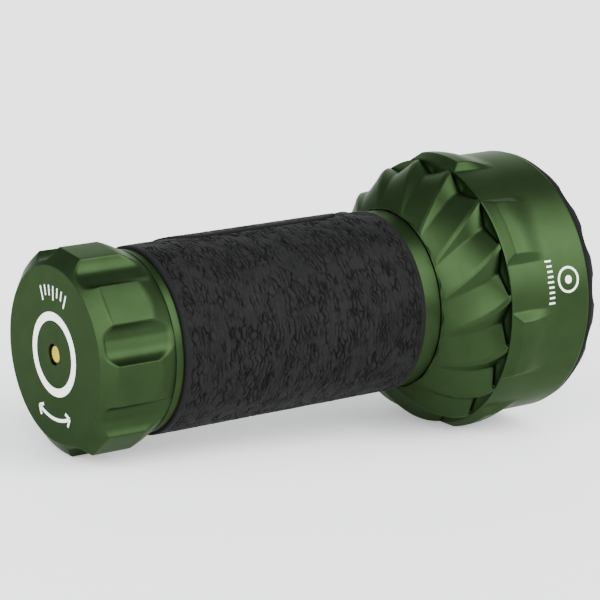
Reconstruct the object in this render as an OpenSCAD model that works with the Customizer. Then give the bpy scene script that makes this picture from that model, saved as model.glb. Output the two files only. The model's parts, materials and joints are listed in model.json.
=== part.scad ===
// Tactical flashlight with a screwed tail cap, a wrapped grip, a finned head and a side switch.
// Millimetres. The light lies on its side as it comes to rest on a table: +X is the beam's
// horizontal direction, +Z is up. Every module draws along the beam axis, from the tail face
// at z = 0 towards the lens, and posed() lays the light down on the table.

/* [Tail cap] */
// Diameter across the cap's lugs, corner to corner
cap_d = 49.6; // [49:0.2:50.4]
// Diameter of the flat tail face
tail_face_d = 41.6; // [41:0.2:42.4]
// Length of the cap from the tail face to its seam
cap_len = 19.6; // [19:0.2:20]
// Number of finger flutes round the cap
flute_count = 8; // [6:1:9]
// Depth of each flute below the lug corners
flute_depth = 2.8; // [1.5:0.1:3]

/* [Grip] */
// Outer diameter of the grip sleeve
grip_d = 45; // [44.4:0.1:45.6]
// Length of the grip sleeve
grip_len = 68.5; // [68:0.1:69]
// Thickness of the grip sleeve
grip_wall = 1.2; // [0.8:0.1:1.3]

/* [Head] */
// Number of cooling fins round the neck
fin_count = 16; // [12:1:20]
// Depth of the grooves between the fins, at the band
fin_depth = 2.8; // [1.5:0.1:3.4]
// Turn of each groove from the band back to the neck, in degrees
fin_skew = 21.6; // [10:0.2:24]
// Diameter of the head across its raised pads
band_d = 69.8; // [69:0.2:70.6]
// Number of raised pads round the head
pad_count = 7; // [5:1:8]
// Diameter of the plain barrel at the front of the head
barrel_d = 65.8; // [65.4:0.1:66.2]
// Number of lobes on the front bezel's crown
crown_count = 16; // [12:1:18]

/* [Light engine] */
// Radius of each reflector cup at its mouth
cup_r = 9.7; // [9:0.1:9.75]
// Number of emitters round the middle one
outer_led_count = 6; // [6:1:6]

/* [Switch] */
// Travel of the side switch
switch_travel = 0.8; // [0.4:0.1:1]
// Radius of the switch button
button_r = 4.45; // [4:0.05:4.5]

/* [Battery] */
// Diameter of one battery cell
cell_d = 18.4; // [18:0.1:18.5]
// Length of one battery cell
cell_len = 65; // [64:0.5:65]

/* [Hidden] */
$fn = 96;
eps = 0.01;
turn = 360;

// how the light lies: on one lug corner of the cap and on two pad corners of the head
tilt = 4.9;
rest_height = 24.32;
centre_x = 68.14;

// stations along the beam axis
collar_z = cap_len;
sleeve_z = cap_len + 2.1;
sleeve_end_z = sleeve_z + grip_len;
head_z = sleeve_end_z + 4.6;
neck_z = head_z + 0.2;
ring_z = neck_z + 13;
band_z = ring_z + 2.4;
band_front_z = band_z + 5.4;
barrel_z = band_front_z + 5.7;
seam_z = barrel_z + 11.2;
bezel_end_z = seam_z + 3.2;

// radii
cap_r = cap_d / 2;
grip_r = grip_d / 2;
tube_r = grip_r - grip_wall;
collar_r = grip_r - 0.8;
tube_bore_r = 20.2;
socket_r = 20.75;
spigot_r = 21;
thread_root_r = 20.6;
neck_r = 22.4;
ring_r = 33.2;
recess_r = 33.3;
barrel_r = barrel_d / 2;
band_r = band_d / 2;
front_bore_r = 31.3;
cavity_r = 29.8;

// angles about the beam axis, measured from the side that lies uppermost
flute_phase = 28.1;
fin_phase = 14.1;
land_angle = 2.3;
valley_angle = 9.3;
pad_half_angle = 11.85;
pad_slope_angle = 3.7;
crown_phase = 5;
panel_angle = -26;
panel_half_angle = 24.5;
switch_angle = -77.14;

// tail cap outside
cap_rear_len = 3.15;
cap_front_len = 6.6;

// tail cap inside
cap_cavity_r = 18.4;
cap_floor_z = 5;
plug_r = 20.6;
plug_root_r = 20;
plug_end_z = 30.5;
thread_pitch = 2;
thread_z = 21.2;
thread_turns = 3;
seal_z = 28.6;
seal_root_r = 19.1;
seal_wire_r = 0.8;
charge_ring_r = 9.97;
charge_ring_bore_r = 7.92;
charge_ring_depth = 1;
pin_r = 2.07;
pin_shank_r = 1;
pin_hole_r = 2.8;
pin_top_z = 0.8;
pin_head_len = 0.9;
insulator_z = 1.2;
insulator_flange_r = 5.8;
insulator_end_z = 4.75;
magnet_z = 2.1;
magnet_len = 2.7;

// battery pack
pack_r = 19.7;
pack_z = 32.4;
carrier_len = 3.4;
cell_z = pack_z + 2;
cell_ring_r = cell_d / sqrt(3) + 0.06;
pack_end_z = cell_z + cell_len + 2;
tie_rod_r = 1.2;
tie_rod_ring_r = 17;

// head inside
tube_end_z = 103.6;
driver_z = 106.4;
shelf_z = 112;
led_board_z = 115.4;
reflector_end_z = 130.2;
lens_z = 130.5;
lens_len = 2.5;
led_ring_r = 19.55;
cup_floor_r = 3.6;
led_screw_ring_r = 11;
led_wire_x = 9.5;

// side switch, measured outwards from the beam axis
switch_z = 102.9;
boss_r = 7.6;
boss_top = 34.3;
switch_bezel_r = 6.7;
switch_seat = 31.5;
switch_well_r = 6.1;
switch_well = 28;
switch_board_len = 1;
dome_len = 0.9;
boot_len = 0.5;
button_top = boss_top + 0.1 + switch_travel;

// colours
green = [0.2, 0.32, 0.15];
black = [0.09, 0.09, 0.1];
grey = [0.3, 0.31, 0.33];
steel = [0.7, 0.71, 0.73];
silver = [0.85, 0.86, 0.88];
gold = [0.86, 0.68, 0.3];
white = [0.93, 0.93, 0.92];
board_green = [0.07, 0.3, 0.16];
cell_blue = [0.12, 0.3, 0.55];
phosphor = [0.95, 0.85, 0.3];
clear = [0.8, 0.88, 0.92, 0.4];
wire_red = [0.6, 0.1, 0.08];
indicator_green = [0.6, 0.9, 0.6];

// ---------------------------------------------------------------- helpers

// lays the light down on the table
module posed() {
    translate([-centre_x, 0, rest_height])
        rotate([0, 90 - tilt, 0])
            rotate([0, 0, 180])
                children();
}

// faces a child outwards from the beam axis, at the switch
module at_switch() {
    translate([0, 0, switch_z])
        rotate([0, 0, switch_angle])
            rotate([0, 90, 0])
                children();
}

module ring(outer, inner, len) {
    difference() {
        cylinder(h = len, r = outer);
        translate([0, 0, -eps])
            cylinder(h = len + 2 * eps, r = inner);
    }
}

// round rubber ring: radius of its centre line, and of its section
module o_ring(centre_r, wire_r) {
    rotate_extrude()
        translate([centre_r, 0])
            circle(r = wire_r, $fn = 32);
}

function polar(r, a) = [r * cos(a), r * sin(a)];

// points of a circle with a given tangent frame, used along a swept wire
function wire_ring(centre, along, r, sides) =
    let (
        t = along / norm(along),
        side_raw = cross(t, abs(t[2]) > 0.9 ? [1, 0, 0] : [0, 0, 1]),
        side = side_raw / norm(side_raw),
        up = cross(side, t)
    )
    [for (i = [0 : sides - 1])
        centre + r * (cos(turn * i / sides) * side + sin(turn * i / sides) * up)];

// a wire swept along a route of points
module swept_wire(route, r, sides = 8) {
    last = len(route) - 1;
    rings = [for (i = [0 : last])
        wire_ring(route[i], route[min(i + 1, last)] - route[max(i - 1, 0)], r, sides)];
    points = [for (one_ring = rings, p = one_ring) p];
    walls = [for (i = [0 : last - 1], j = [0 : sides - 1])
        [i * sides + j, (i + 1) * sides + j,
            (i + 1) * sides + (j + 1) % sides, i * sides + (j + 1) % sides]];
    start_cap = [[for (j = [0 : sides - 1]) j]];
    end_cap = [[for (j = [sides - 1 : -1 : 0]) last * sides + j]];
    polyhedron(points = points, faces = concat(walls, start_cap, end_cap), convexity = 6);
}

// route of a helical spring that narrows from base_r to top_r
function spring_route(base_r, top_r, len, turns, steps) =
    [for (i = [0 : turns * steps])
        let (f = i / (turns * steps), r = base_r + (top_r - base_r) * f)
        [r * cos(i * turn / steps), r * sin(i * turn / steps), len * f]];

module at_cells() {
    for (k = [0 : 2])
        rotate([0, 0, 90 + k * turn / 3])
            translate([cell_ring_r, 0, 0])
                children();
}

module at_tie_rods() {
    for (k = [0 : 2])
        rotate([0, 0, 30 + k * turn / 3])
            translate([tie_rod_ring_r, 0, 0])
                children();
}

module at_leds() {
    children();
    for (k = [0 : outer_led_count - 1])
        rotate([0, 0, k * turn / outer_led_count])
            translate([led_ring_r, 0, 0])
                children();
}

module at_led_screws() {
    for (k = [0 : 2])
        rotate([0, 0, 30 + k * turn / 3])
            translate([led_screw_ring_r, 0, 0])
                children();
}

// ---------------------------------------------------------------- tail cap

// turned outline of the cap, before the flats and the flutes are milled
module cap_outline() {
    rotate_extrude()
        polygon([[0, 0], [tail_face_d / 2, 0], [cap_r, cap_rear_len], [cap_r, cap_len - cap_front_len],
            [spigot_r, cap_len - eps], [plug_root_r, cap_len - eps], [0, cap_len - eps]]);
}

// one flat between each two flutes, with its edges on the cap's outer circle
module cap_flats() {
    flat_r = cap_r * cos(90 / flute_count) / cos(180 / flute_count);
    rotate([0, 0, flute_phase])
        cylinder(h = 2 * cap_len, r = flat_r, $fn = flute_count);
}

module cap_flutes() {
    half_chord = cap_r * sin(90 / flute_count) + 0.05;
    chord_depth = flute_depth - cap_r * (1 - cos(90 / flute_count));
    flute_r = (half_chord * half_chord + chord_depth * chord_depth) / (2 * chord_depth);
    for (k = [0 : flute_count - 1])
        rotate([0, 0, flute_phase + k * turn / flute_count])
            translate([cap_r - flute_depth + flute_r, 0, -1])
                cylinder(h = cap_len + 2, r = flute_r);
}

module cap_plug() {
    translate([0, 0, cap_len - 2 * eps])
        difference() {
            union() {
                cylinder(h = plug_end_z - cap_len, r = plug_root_r);
                for (k = [0 : thread_turns - 1])
                    translate([0, 0, thread_z - cap_len + k * thread_pitch])
                        cylinder(h = thread_pitch / 2, r = plug_r);
                translate([0, 0, seal_z - 1.6 - cap_len])
                    cylinder(h = 3.2, r = plug_r - 0.1);
            }
            translate([0, 0, seal_z - seal_wire_r - 0.1 - cap_len])
                ring(plug_r + 1, seal_root_r, 2 * seal_wire_r + 0.2);
        }
}

module tail_cap() {
    color(green)
        posed()
            difference() {
                union() {
                    intersection() {
                        cap_outline();
                        cap_flats();
                    }
                    cap_plug();
                }
                cap_flutes();
                translate([0, 0, cap_floor_z])
                    cylinder(h = plug_end_z, r = cap_cavity_r);
                translate([0, 0, -1])
                    cylinder(h = cap_len, r = pin_hole_r);
                translate([0, 0, insulator_z + 0.1])
                    cylinder(h = cap_len, r = insulator_flange_r + 0.1);
                translate([0, 0, magnet_z])
                    cylinder(h = cap_len, r = 9.4);
                translate([0, 0, -1])
                    ring(charge_ring_r, charge_ring_bore_r, charge_ring_depth + 1);
            }
}

module charge_ring() {
    color(white)
        posed()
            ring(charge_ring_r, charge_ring_bore_r, charge_ring_depth);
}

module contact_pin() {
    color(gold)
        posed() {
            translate([0, 0, pin_top_z])
                cylinder(h = pin_head_len, r = pin_r);
            translate([0, 0, pin_top_z + pin_head_len - eps])
                cylinder(h = 3.7, r = pin_shank_r);
        }
}

module pin_insulator() {
    color(black)
        posed()
            difference() {
                union() {
                    translate([0, 0, insulator_z])
                        cylinder(h = 3, r = pin_hole_r);
                    translate([0, 0, insulator_z + 0.15])
                        cylinder(h = insulator_end_z - insulator_z - 0.15, r = insulator_flange_r);
                }
                cylinder(h = pin_top_z + pin_head_len, r = pin_r);
                cylinder(h = cap_len, r = pin_shank_r);
            }
}

module charge_magnet() {
    color(steel)
        posed()
            translate([0, 0, magnet_z])
                ring(9.2, 6, magnet_len);
}

module tail_board() {
    color(board_green)
        posed() {
            translate([0, 0, cap_floor_z])
                ring(18.2, 1.1, 1.2);
            for (a = [30 : 60 : 330])
                rotate([0, 0, a])
                    translate([11.5, -1, cap_floor_z + 1.15])
                        cube([3.2, 2, 0.9]);
        }
}

module tail_board_retainer() {
    color(gold)
        posed()
            translate([0, 0, cap_floor_z + 1.2])
                difference() {
                    ring(18.3, 16.3, 2);
                    for (a = [0, 180])
                        rotate([0, 0, a])
                            translate([15, -1, 1])
                                cube([4, 2, 2]);
                }
}

module tail_spring() {
    color(gold)
        posed()
            translate([0, 0, cap_floor_z + 1.9])
                swept_wire(spring_route(7, 5, pack_z - cap_floor_z - 3.5, 5, 16), 0.6);
}

module tail_seal() {
    color(black)
        posed()
            translate([0, 0, seal_z])
                o_ring(seal_root_r + seal_wire_r + 0.02, seal_wire_r);
}

// ---------------------------------------------------------------- grip and body tube

module body_tube() {
    color(green)
        posed()
            difference() {
                union() {
                    rotate_extrude()
                        polygon([[0, collar_z], [collar_r - 0.6, collar_z],
                            [collar_r, collar_z + 0.6], [collar_r, sleeve_z], [tube_r, sleeve_z],
                            [tube_r, sleeve_end_z], [collar_r + 0.4, sleeve_end_z],
                            [collar_r + 0.4, head_z - 1], [collar_r, head_z - 0.15],
                            [thread_root_r, head_z - 0.15], [thread_root_r, tube_end_z],
                            [0, tube_end_z]]);
                    for (k = [0 : 3])
                        translate([0, 0, head_z + 1.6 + k * 1.5])
                            cylinder(h = 0.8, r = spigot_r);
                }
                translate([0, 0, collar_z - 1])
                    cylinder(h = plug_end_z - collar_z + 1.6, r = socket_r);
                cylinder(h = tube_end_z + 1, r = tube_bore_r - 0.2);
                translate([0, 0, collar_z])
                    cylinder(h = sleeve_end_z - collar_z, r = tube_bore_r);
            }
}

module grip_sleeve() {
    color(black)
        posed()
            translate([0, 0, sleeve_z])
                ring(grip_r, tube_r, grip_len);
}

// raised plain panel, with round ends, wrapped over the sleeve
module grip_panel() {
    panel_half_w = grip_r * sin(panel_half_angle);
    panel_z = sleeve_z + 10.9;
    panel_len = 51.1;
    color(black)
        posed()
            intersection() {
                translate([0, 0, sleeve_z])
                    ring(grip_r + 0.45, grip_r, grip_len);
                rotate([0, 0, panel_angle])
                    rotate([0, 90, 0])
                        translate([-panel_z, 0, grip_r / 2])
                            linear_extrude(grip_r)
                                union() {
                                    translate([-panel_len + panel_half_w, -panel_half_w])
                                        square([panel_len - 2 * panel_half_w, 2 * panel_half_w]);
                                    translate([-panel_half_w, 0])
                                        circle(r = panel_half_w);
                                    translate([panel_half_w - panel_len, 0])
                                        circle(r = panel_half_w);
                                }
            }
}

// ---------------------------------------------------------------- battery pack

module battery_cell(k) {
    color(cell_blue)
        posed()
            rotate([0, 0, 90 + k * turn / 3])
                translate([cell_ring_r, 0, cell_z])
                    union() {
                        cylinder(h = cell_len - 1, r = cell_d / 2);
                        translate([0, 0, cell_len - 1.1])
                            cylinder(h = 1.1, r = 4.2);
                    }
}

module battery_cell_1() {
    battery_cell(0);
}

module battery_cell_2() {
    battery_cell(1);
}

module battery_cell_3() {
    battery_cell(2);
}

// round end plate of the pack, with a shallow seat for each cell
module cell_carrier(seat_z) {
    difference() {
        cylinder(h = carrier_len, r = pack_r);
        translate([0, 0, seat_z])
            at_cells()
                cylinder(h = carrier_len, r = cell_d / 2 + 0.05);
        translate([0, 0, -1])
            at_cells()
                cylinder(h = carrier_len + 2, r = 5);
        translate([0, 0, -1])
            at_tie_rods()
                cylinder(h = carrier_len + 2, r = tie_rod_r);
    }
}

module rear_cell_carrier() {
    color(grey)
        posed()
            translate([0, 0, pack_z])
                cell_carrier(2);
}

module front_cell_carrier() {
    color(grey)
        posed()
            translate([0, 0, pack_end_z])
                mirror([0, 0, 1])
                    cell_carrier(2);
}

module cell_tie_rods() {
    color(steel)
        posed()
            translate([0, 0, pack_z + 0.3])
                at_tie_rods()
                    cylinder(h = pack_end_z - pack_z - 0.6, r = tie_rod_r);
}

module rear_contact_plate() {
    color(gold)
        posed()
            translate([0, 0, pack_z - 0.8])
                cylinder(h = 0.8, r = 17);
}

module front_contact_plate() {
    color(gold)
        posed()
            translate([0, 0, pack_end_z])
                cylinder(h = 0.8, r = 17);
}

// nickel tabs that join each cell to the plates
module cell_tabs() {
    color(steel)
        posed()
            at_cells() {
                translate([0, 0, pack_z])
                    cylinder(h = cell_z - pack_z, r = 3.5);
                translate([0, 0, cell_z + cell_len])
                    cylinder(h = pack_end_z - cell_z - cell_len, r = 3.5);
            }
}

// ---------------------------------------------------------------- head

// radius of the fin crests, 0 at the neck to 1 at the band
function crest_r(t) = neck_r + (ring_r - neck_r) * pow(sin(90 * t), 0.85);
// the grooves turn back and grow shallower towards the neck
function groove_turn(t) = fin_skew * (1 - pow(t, 0.68));
function groove_depth(t) = fin_depth * pow(t, 0.8);

// three points for each fin: its crest, the groove's floor and the start of the next land
function fin_section(t) =
    [for (k = [0 : fin_count - 1])
        let (
            crest = fin_phase + k * turn / fin_count + groove_turn(t),
            valley = crest + valley_angle * pow(t, 0.65) + 0.3,
            land = crest + turn / fin_count - land_angle,
            r = crest_r(t),
            at = [polar(r, crest), polar(r - groove_depth(t), valley), polar(r, land)]
        )
        for (p = at) [p[0], p[1], neck_z + (ring_z - neck_z) * t]];

module fin_block(stations = 8) {
    count = 3 * fin_count;
    sections = [for (i = [0 : stations]) fin_section(i / stations)];
    points = [for (section = sections, p = section) p];
    walls = [for (i = [0 : stations - 1], j = [0 : count - 1], half = [0, 1])
        half == 0
            ? [i * count + j, (i + 1) * count + j, i * count + (j + 1) % count]
            : [(i + 1) * count + j, (i + 1) * count + (j + 1) % count,
                i * count + (j + 1) % count]];
    rear_face = [[for (j = [0 : count - 1]) j]];
    front_face = [[for (j = [count - 1 : -1 : 0]) stations * count + j]];
    polyhedron(points = points, faces = concat(walls, rear_face, front_face), convexity = 8);
}

// removes the band between two pads, down to a round floor with sloped ends
module pad_gap() {
    half = turn / pad_count / 2;
    top = polar(band_r, half - pad_half_angle);
    foot = polar(recess_r, half - pad_half_angle - pad_slope_angle);
    slope = top - foot;
    outer = foot + 2.2 * slope;
    inner = foot - 0.4 * slope;
    reach = band_r + 2;
    difference() {
        translate([0, 0, ring_z - 1])
            linear_extrude(barrel_z - ring_z + 2)
                polygon([inner, outer, [reach, outer[1]], [reach, -outer[1]],
                    [outer[0], -outer[1]], [inner[0], -inner[1]]]);
        cylinder(h = seam_z, r = recess_r);
    }
}

module head_band() {
    difference() {
        rotate_extrude()
            polygon([[20, ring_z - 0.05], [ring_r + 0.05, ring_z - 0.05], [ring_r + 0.3, ring_z + 0.3],
                [band_r, band_z], [band_r, band_front_z], [barrel_r, barrel_z],
                [barrel_r, seam_z - 0.4], [barrel_r - 0.4, seam_z], [20, seam_z]]);
        for (k = [0 : pad_count - 1])
            rotate([0, 0, (k + 0.5) * turn / pad_count])
                pad_gap();
    }
}

module head_housing() {
    color(green)
        posed()
            difference() {
                union() {
                    rotate_extrude()
                        polygon([[20, head_z], [collar_r - 0.1, head_z], [neck_r - 0.6, neck_z - 0.1],
                            [neck_r, neck_z + eps], [20, neck_z + eps]]);
                    fin_block();
                    head_band();
                    intersection() {
                        at_switch()
                            cylinder(h = boss_top, r = boss_r);
                        translate([0, 0, neck_z - 0.4])
                            cylinder(h = ring_z, r = boss_top + 1);
                    }
                }
                translate([0, 0, head_z - 1])
                    cylinder(h = shelf_z - head_z + 1, r = spigot_r + 0.1);
                translate([0, 0, led_board_z])
                    cylinder(h = seam_z, r = cavity_r);
                translate([0, 0, reflector_end_z - 3])
                    cylinder(h = seam_z, r = front_bore_r);
                for (side = [-1, 1])
                    translate([side * led_wire_x, 0, shelf_z - 1])
                        cylinder(h = 6, r = 1.4);
                translate([0, 0, shelf_z + 0.6])
                    at_led_screws()
                        cylinder(h = 6, r = 1);
                at_switch()
                    translate([0, 0, switch_seat])
                        cylinder(h = 6, r = switch_bezel_r + 0.05);
                at_switch()
                    translate([0, 0, switch_well])
                        cylinder(h = 6, r = switch_well_r);
                at_switch()
                    translate([0, 0, spigot_r - 2])
                        cylinder(h = switch_well - spigot_r + 2.5, r = 1.5);
            }
}

module head_seal() {
    color(black)
        posed()
            translate([0, 0, head_z - 0.075])
                ring(spigot_r + 0.3, thread_root_r + 0.02, 0.075);
}

module driver_spring() {
    color(gold)
        posed()
            translate([0, 0, pack_end_z + 1.5])
                swept_wire(spring_route(4, 6, driver_z - pack_end_z - 2.2, 3, 16), 0.6);
}

module driver_board() {
    color(board_green)
        posed()
            translate([0, 0, driver_z])
                cylinder(h = 1.6, r = 20.4);
}

// coil, controller, two capacitors and a row of resistors on the driver board
module driver_components() {
    color(black)
        posed()
            translate([0, 0, driver_z + 1.6]) {
                translate([-12, -4, 0])
                    cube([8, 8, 3.2]);
                translate([3, -3, 0])
                    cube([6, 6, 1]);
                for (y = [-10, 10])
                    translate([0, y, 0])
                        cylinder(h = 3.2, r = 3);
                for (k = [0 : 3])
                    translate([11, -7.5 + 4 * k, 0])
                        cube([3, 1.6, 0.8]);
            }
}

module driver_retainer() {
    color(gold)
        posed()
            translate([0, 0, driver_z - 1.6])
                ring(21, 18.6, 1.6);
}

// two leads that pass through the shelf from the driver to the emitter board
module led_wires() {
    color(wire_red)
        posed()
            for (side = [-1, 1])
                translate([side * led_wire_x, 0, driver_z + 4.9])
                    cylinder(h = led_board_z - driver_z - 4.9, r = 0.8);
}

module led_board() {
    color(white)
        posed()
            translate([0, 0, led_board_z])
                difference() {
                    cylinder(h = 1.6, r = 29.4);
                    translate([0, 0, -1])
                        at_led_screws()
                            cylinder(h = 4, r = 1);
                }
}

module leds() {
    color(phosphor)
        posed()
            translate([0, 0, led_board_z + 1.6])
                at_leds() {
                    translate([-2.2, -2.2, 0])
                        cube([4.4, 4.4, 0.7]);
                    translate([0, 0, 0.6])
                        cylinder(h = 0.9, r1 = 1.9, r2 = 1.2);
                }
}

module led_board_screws() {
    color(steel)
        posed()
            at_led_screws()
                union() {
                    translate([0, 0, shelf_z + 0.7])
                        cylinder(h = 4.4, r = 0.9);
                    translate([0, 0, led_board_z + 1.6])
                        cylinder(h = 0.7, r = 1.8);
                }
}

// white collars that centre each reflector cup on its emitter
module led_spacers() {
    color(white)
        posed()
            translate([0, 0, led_board_z + 1.6])
                at_leds()
                    ring(4.4, 3.3, 1);
}

module reflector_cup(len) {
    rotate_extrude()
        polygon(concat([[0, -1], [cup_floor_r, -1]],
            [for (i = [0 : 8])
                let (f = i / 8)
                [cup_floor_r + (cup_r - cup_floor_r) * sqrt(f), len * f]],
            [[cup_r, len + 1], [0, len + 1]]));
}

module reflector() {
    foot_z = led_board_z + 2.7;
    color(silver)
        posed()
            translate([0, 0, foot_z])
                difference() {
                    cylinder(h = reflector_end_z - foot_z, r = 29.6);
                    at_leds()
                        reflector_cup(reflector_end_z - foot_z);
                }
}

module lens() {
    color(clear)
        posed()
            translate([0, 0, lens_z])
                cylinder(h = lens_len, r = 29.7);
}

module lens_seal() {
    color(black)
        posed()
            translate([0, 0, lens_z + lens_len])
                ring(29.9, 28.8, 0.4);
}

module lens_gasket() {
    color(black)
        posed()
            translate([0, 0, reflector_end_z])
                ring(29.5, 29.0, lens_z - reflector_end_z);
}

// front ring that clamps the lens, with a scalloped crown
module bezel() {
    valley_r = 6;
    valley_depth = 1.4;
    color(black)
        posed()
            difference() {
                rotate_extrude()
                    polygon([[30, reflector_end_z - 2.8], [31.2, reflector_end_z - 2.8],
                        [31.2, seam_z + 0.1], [barrel_r - 0.3, seam_z + 0.1],
                        [barrel_r - 0.5, seam_z + 1.2], [31.4, bezel_end_z - 0.3],
                        [31.1, bezel_end_z], [30.4, bezel_end_z], [28.6, bezel_end_z - 1.7],
                        [28.6, lens_z + lens_len + 0.4], [30, lens_z + lens_len + 0.4]]);
                for (k = [0 : crown_count - 1])
                    rotate([0, 0, crown_phase + (k + 0.5) * turn / crown_count])
                        translate([26, 0, bezel_end_z + valley_r - valley_depth])
                            rotate([0, 90, 0])
                                cylinder(h = 9, r = valley_r);
            }
}

module bezel_seal() {
    color(black)
        posed()
            translate([0, 0, seam_z])
                ring(barrel_r - 0.9, 31.25, 0.1);
}

// ---------------------------------------------------------------- side switch

module switch_button() {
    color(grey)
        posed()
            at_switch()
                difference() {
                    union() {
                        translate([0, 0, switch_well + switch_board_len + dome_len + boot_len])
                            cylinder(h = 3.2, r = button_r - 0.3);
                        translate([0, 0, switch_seat + 1.5])
                            cylinder(h = button_top - switch_seat - 1.5, r = button_r);
                    }
                    translate([0, 0, button_top + 11.6])
                        sphere(r = 12);
                }
}

module switch_boot() {
    color(black)
        posed()
            at_switch()
                translate([0, 0, switch_well + switch_board_len + dome_len])
                    cylinder(h = boot_len, r = switch_well_r - 0.1);
}

module switch_dome() {
    color(steel)
        posed()
            at_switch()
                translate([0, 0, switch_well + switch_board_len])
                    cylinder(h = dome_len, r = 2.6);
}

module switch_board() {
    color(board_green)
        posed()
            at_switch()
                translate([0, 0, switch_well])
                    cylinder(h = switch_board_len, r = switch_well_r - 0.1);
}

module switch_bezel() {
    color(steel)
        posed()
            at_switch()
                difference() {
                    translate([0, 0, switch_seat])
                        ring(switch_bezel_r, button_r + 0.1, 3.1);
                    translate([0, 0, boss_top - 0.2])
                        ring(6, 5.1, 2);
                }
}

module indicator_ring() {
    color(indicator_green)
        posed()
            at_switch()
                translate([0, 0, boss_top - 0.2])
                    ring(6, 5.1, 0.5);
}

module switch_wires() {
    color(wire_red)
        posed()
            at_switch()
                for (y = [-0.7, 0.7])
                    translate([0, y, spigot_r + 0.2])
                        cylinder(h = switch_well - spigot_r - 0.2, r = 0.5);
}

tail_cap();
charge_ring();
contact_pin();
pin_insulator();
charge_magnet();
tail_board();
tail_board_retainer();
tail_spring();
tail_seal();
body_tube();
grip_sleeve();
grip_panel();
battery_cell_1();
battery_cell_2();
battery_cell_3();
rear_cell_carrier();
front_cell_carrier();
cell_tie_rods();
rear_contact_plate();
front_contact_plate();
cell_tabs();
head_housing();
head_seal();
driver_spring();
driver_board();
driver_components();
driver_retainer();
led_wires();
led_board();
leds();
led_board_screws();
led_spacers();
reflector();
lens();
lens_seal();
lens_gasket();
bezel();
bezel_seal();
switch_button();
switch_boot();
switch_dome();
switch_board();
switch_bezel();
indicator_ring();
switch_wires();
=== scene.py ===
"""Tactical flashlight, lying on its side: green anodised tail cap, collars and finned head,
a leather-grained rubber grip, a black crowned bezel, and the light engine inside.

Every piece is built in the beam frame, in millimetres: z runs from the tail face to the lens,
and an angle of 0 about the beam is the side that lies uppermost, 90 the side facing -Y.
"""

import json
import math

import bmesh
import bpy
import numpy as np
from mathutils import Matrix, Vector
from mathutils.geometry import delaunay_2d_cdt


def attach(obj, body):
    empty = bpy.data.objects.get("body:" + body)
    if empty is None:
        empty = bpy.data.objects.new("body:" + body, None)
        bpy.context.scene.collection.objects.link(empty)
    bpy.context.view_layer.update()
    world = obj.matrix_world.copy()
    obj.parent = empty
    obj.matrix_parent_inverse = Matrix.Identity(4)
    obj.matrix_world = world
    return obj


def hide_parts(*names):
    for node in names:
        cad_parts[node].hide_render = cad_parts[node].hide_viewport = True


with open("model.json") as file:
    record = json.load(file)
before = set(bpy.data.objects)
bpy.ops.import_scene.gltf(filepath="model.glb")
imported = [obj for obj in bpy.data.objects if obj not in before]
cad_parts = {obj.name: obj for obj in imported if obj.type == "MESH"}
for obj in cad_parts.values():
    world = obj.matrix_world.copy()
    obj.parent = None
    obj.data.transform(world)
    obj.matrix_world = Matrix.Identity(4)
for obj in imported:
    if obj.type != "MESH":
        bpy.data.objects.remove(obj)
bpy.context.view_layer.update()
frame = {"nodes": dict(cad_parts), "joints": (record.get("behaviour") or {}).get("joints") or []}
MM = 0.001
TURN = 360.0

# -------------------------------------------------- the beam frame

CAP_TRAVEL = next(j for j in frame["joints"] if j["name"] == "tail_cap_travel")
CAP_TURN = next(j for j in frame["joints"] if j["name"] == "tail_cap_turn")
BEAM = -Vector(CAP_TRAVEL["axis"])
NEAR_SIDE = Vector((0, -1, 0))
UPPERMOST = NEAR_SIDE.cross(BEAM)
TAIL = Vector(CAP_TURN["pos_m"])
BEAM_FRAME = Matrix((UPPERMOST, NEAR_SIDE, BEAM)).transposed().to_4x4()
BEAM_FRAME.translation = TAIL

# -------------------------------------------------- dimensions

# those of part.scad, and finer ones for the shapes that are drawn here

# stations along the beam
CAP_LEN = 19.6
CAP_REAR_LEN = 3.15
CAP_FRONT_LEN = 6.6
SLEEVE_Z = 21.7
SLEEVE_END_Z = 90.2
HEAD_Z = 94.8
NECK_Z = 95.0
RING_Z = 108.0
BAND_Z = 110.4
PAD_FADE_START = 112.2
PAD_FADE_END = 122.4
SEAM_Z = 132.7
BEZEL_END_Z = 135.9
SHELF_Z = 112.0
BOARD_Z = 115.4
BOARD_LEN = 1.6
REFLECTOR_Z = 118.1
REFLECTOR_END_Z = 130.2
LENS_Z = 130.5
LENS_LEN = 2.5
PLUG_END_Z = 30.5
SEAL_GROOVE = (27.7, 29.5)
CAP_FLOOR_Z = 5.0
PIN_TOP_Z = 0.5
PIN_HEAD_END_Z = 1.7
PIN_END_Z = 5.4
PIN_SHELF_Z = 1.3
INSULATOR_END_Z = 4.75
MAGNET_Z = 2.1
TUBE_END_Z = 103.6

# radii
CAP_R = 24.8
TAIL_FACE_R = 20.8
FLUTE_DEPTH = 2.8
GRIP_R = 22.5
TUBE_R = 21.3
COLLAR_R = 21.7
FRONT_COLLAR_R = 22.1
TUBE_BORE_R = 20.2
SOCKET_R = 20.75
SPIGOT_R = 21.0
THREAD_ROOT_R = 20.6
SEAL_ROOT_R = 19.1
PLUG_R = 20.6
PLUG_ROOT_R = 20.0
NECK_R = 22.4
RING_R = 33.2
RECESS_R = 33.25
BAND_R = 34.9
BARREL_R = 32.9
FRONT_BORE_R = 31.3
CAVITY_R = 29.8
CHARGE_RING_R = 9.97
CHARGE_RING_BORE_R = 7.92
CHARGE_RING_DEPTH = 1.0
CAP_CAVITY_R = 18.4
PIN_R = 2.06
PIN_SHANK_R = 1.0
PIN_HOLE_R = 2.5
INSULATOR_R = 5.8
MAGNET_POCKET_R = 9.4
BEZEL_BORE_R = 28.6
BEZEL_SPIGOT_R = 31.2
BEZEL_FRONT_R = 31.4
REFLECTOR_R = 29.6
LENS_R = 29.7

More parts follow.
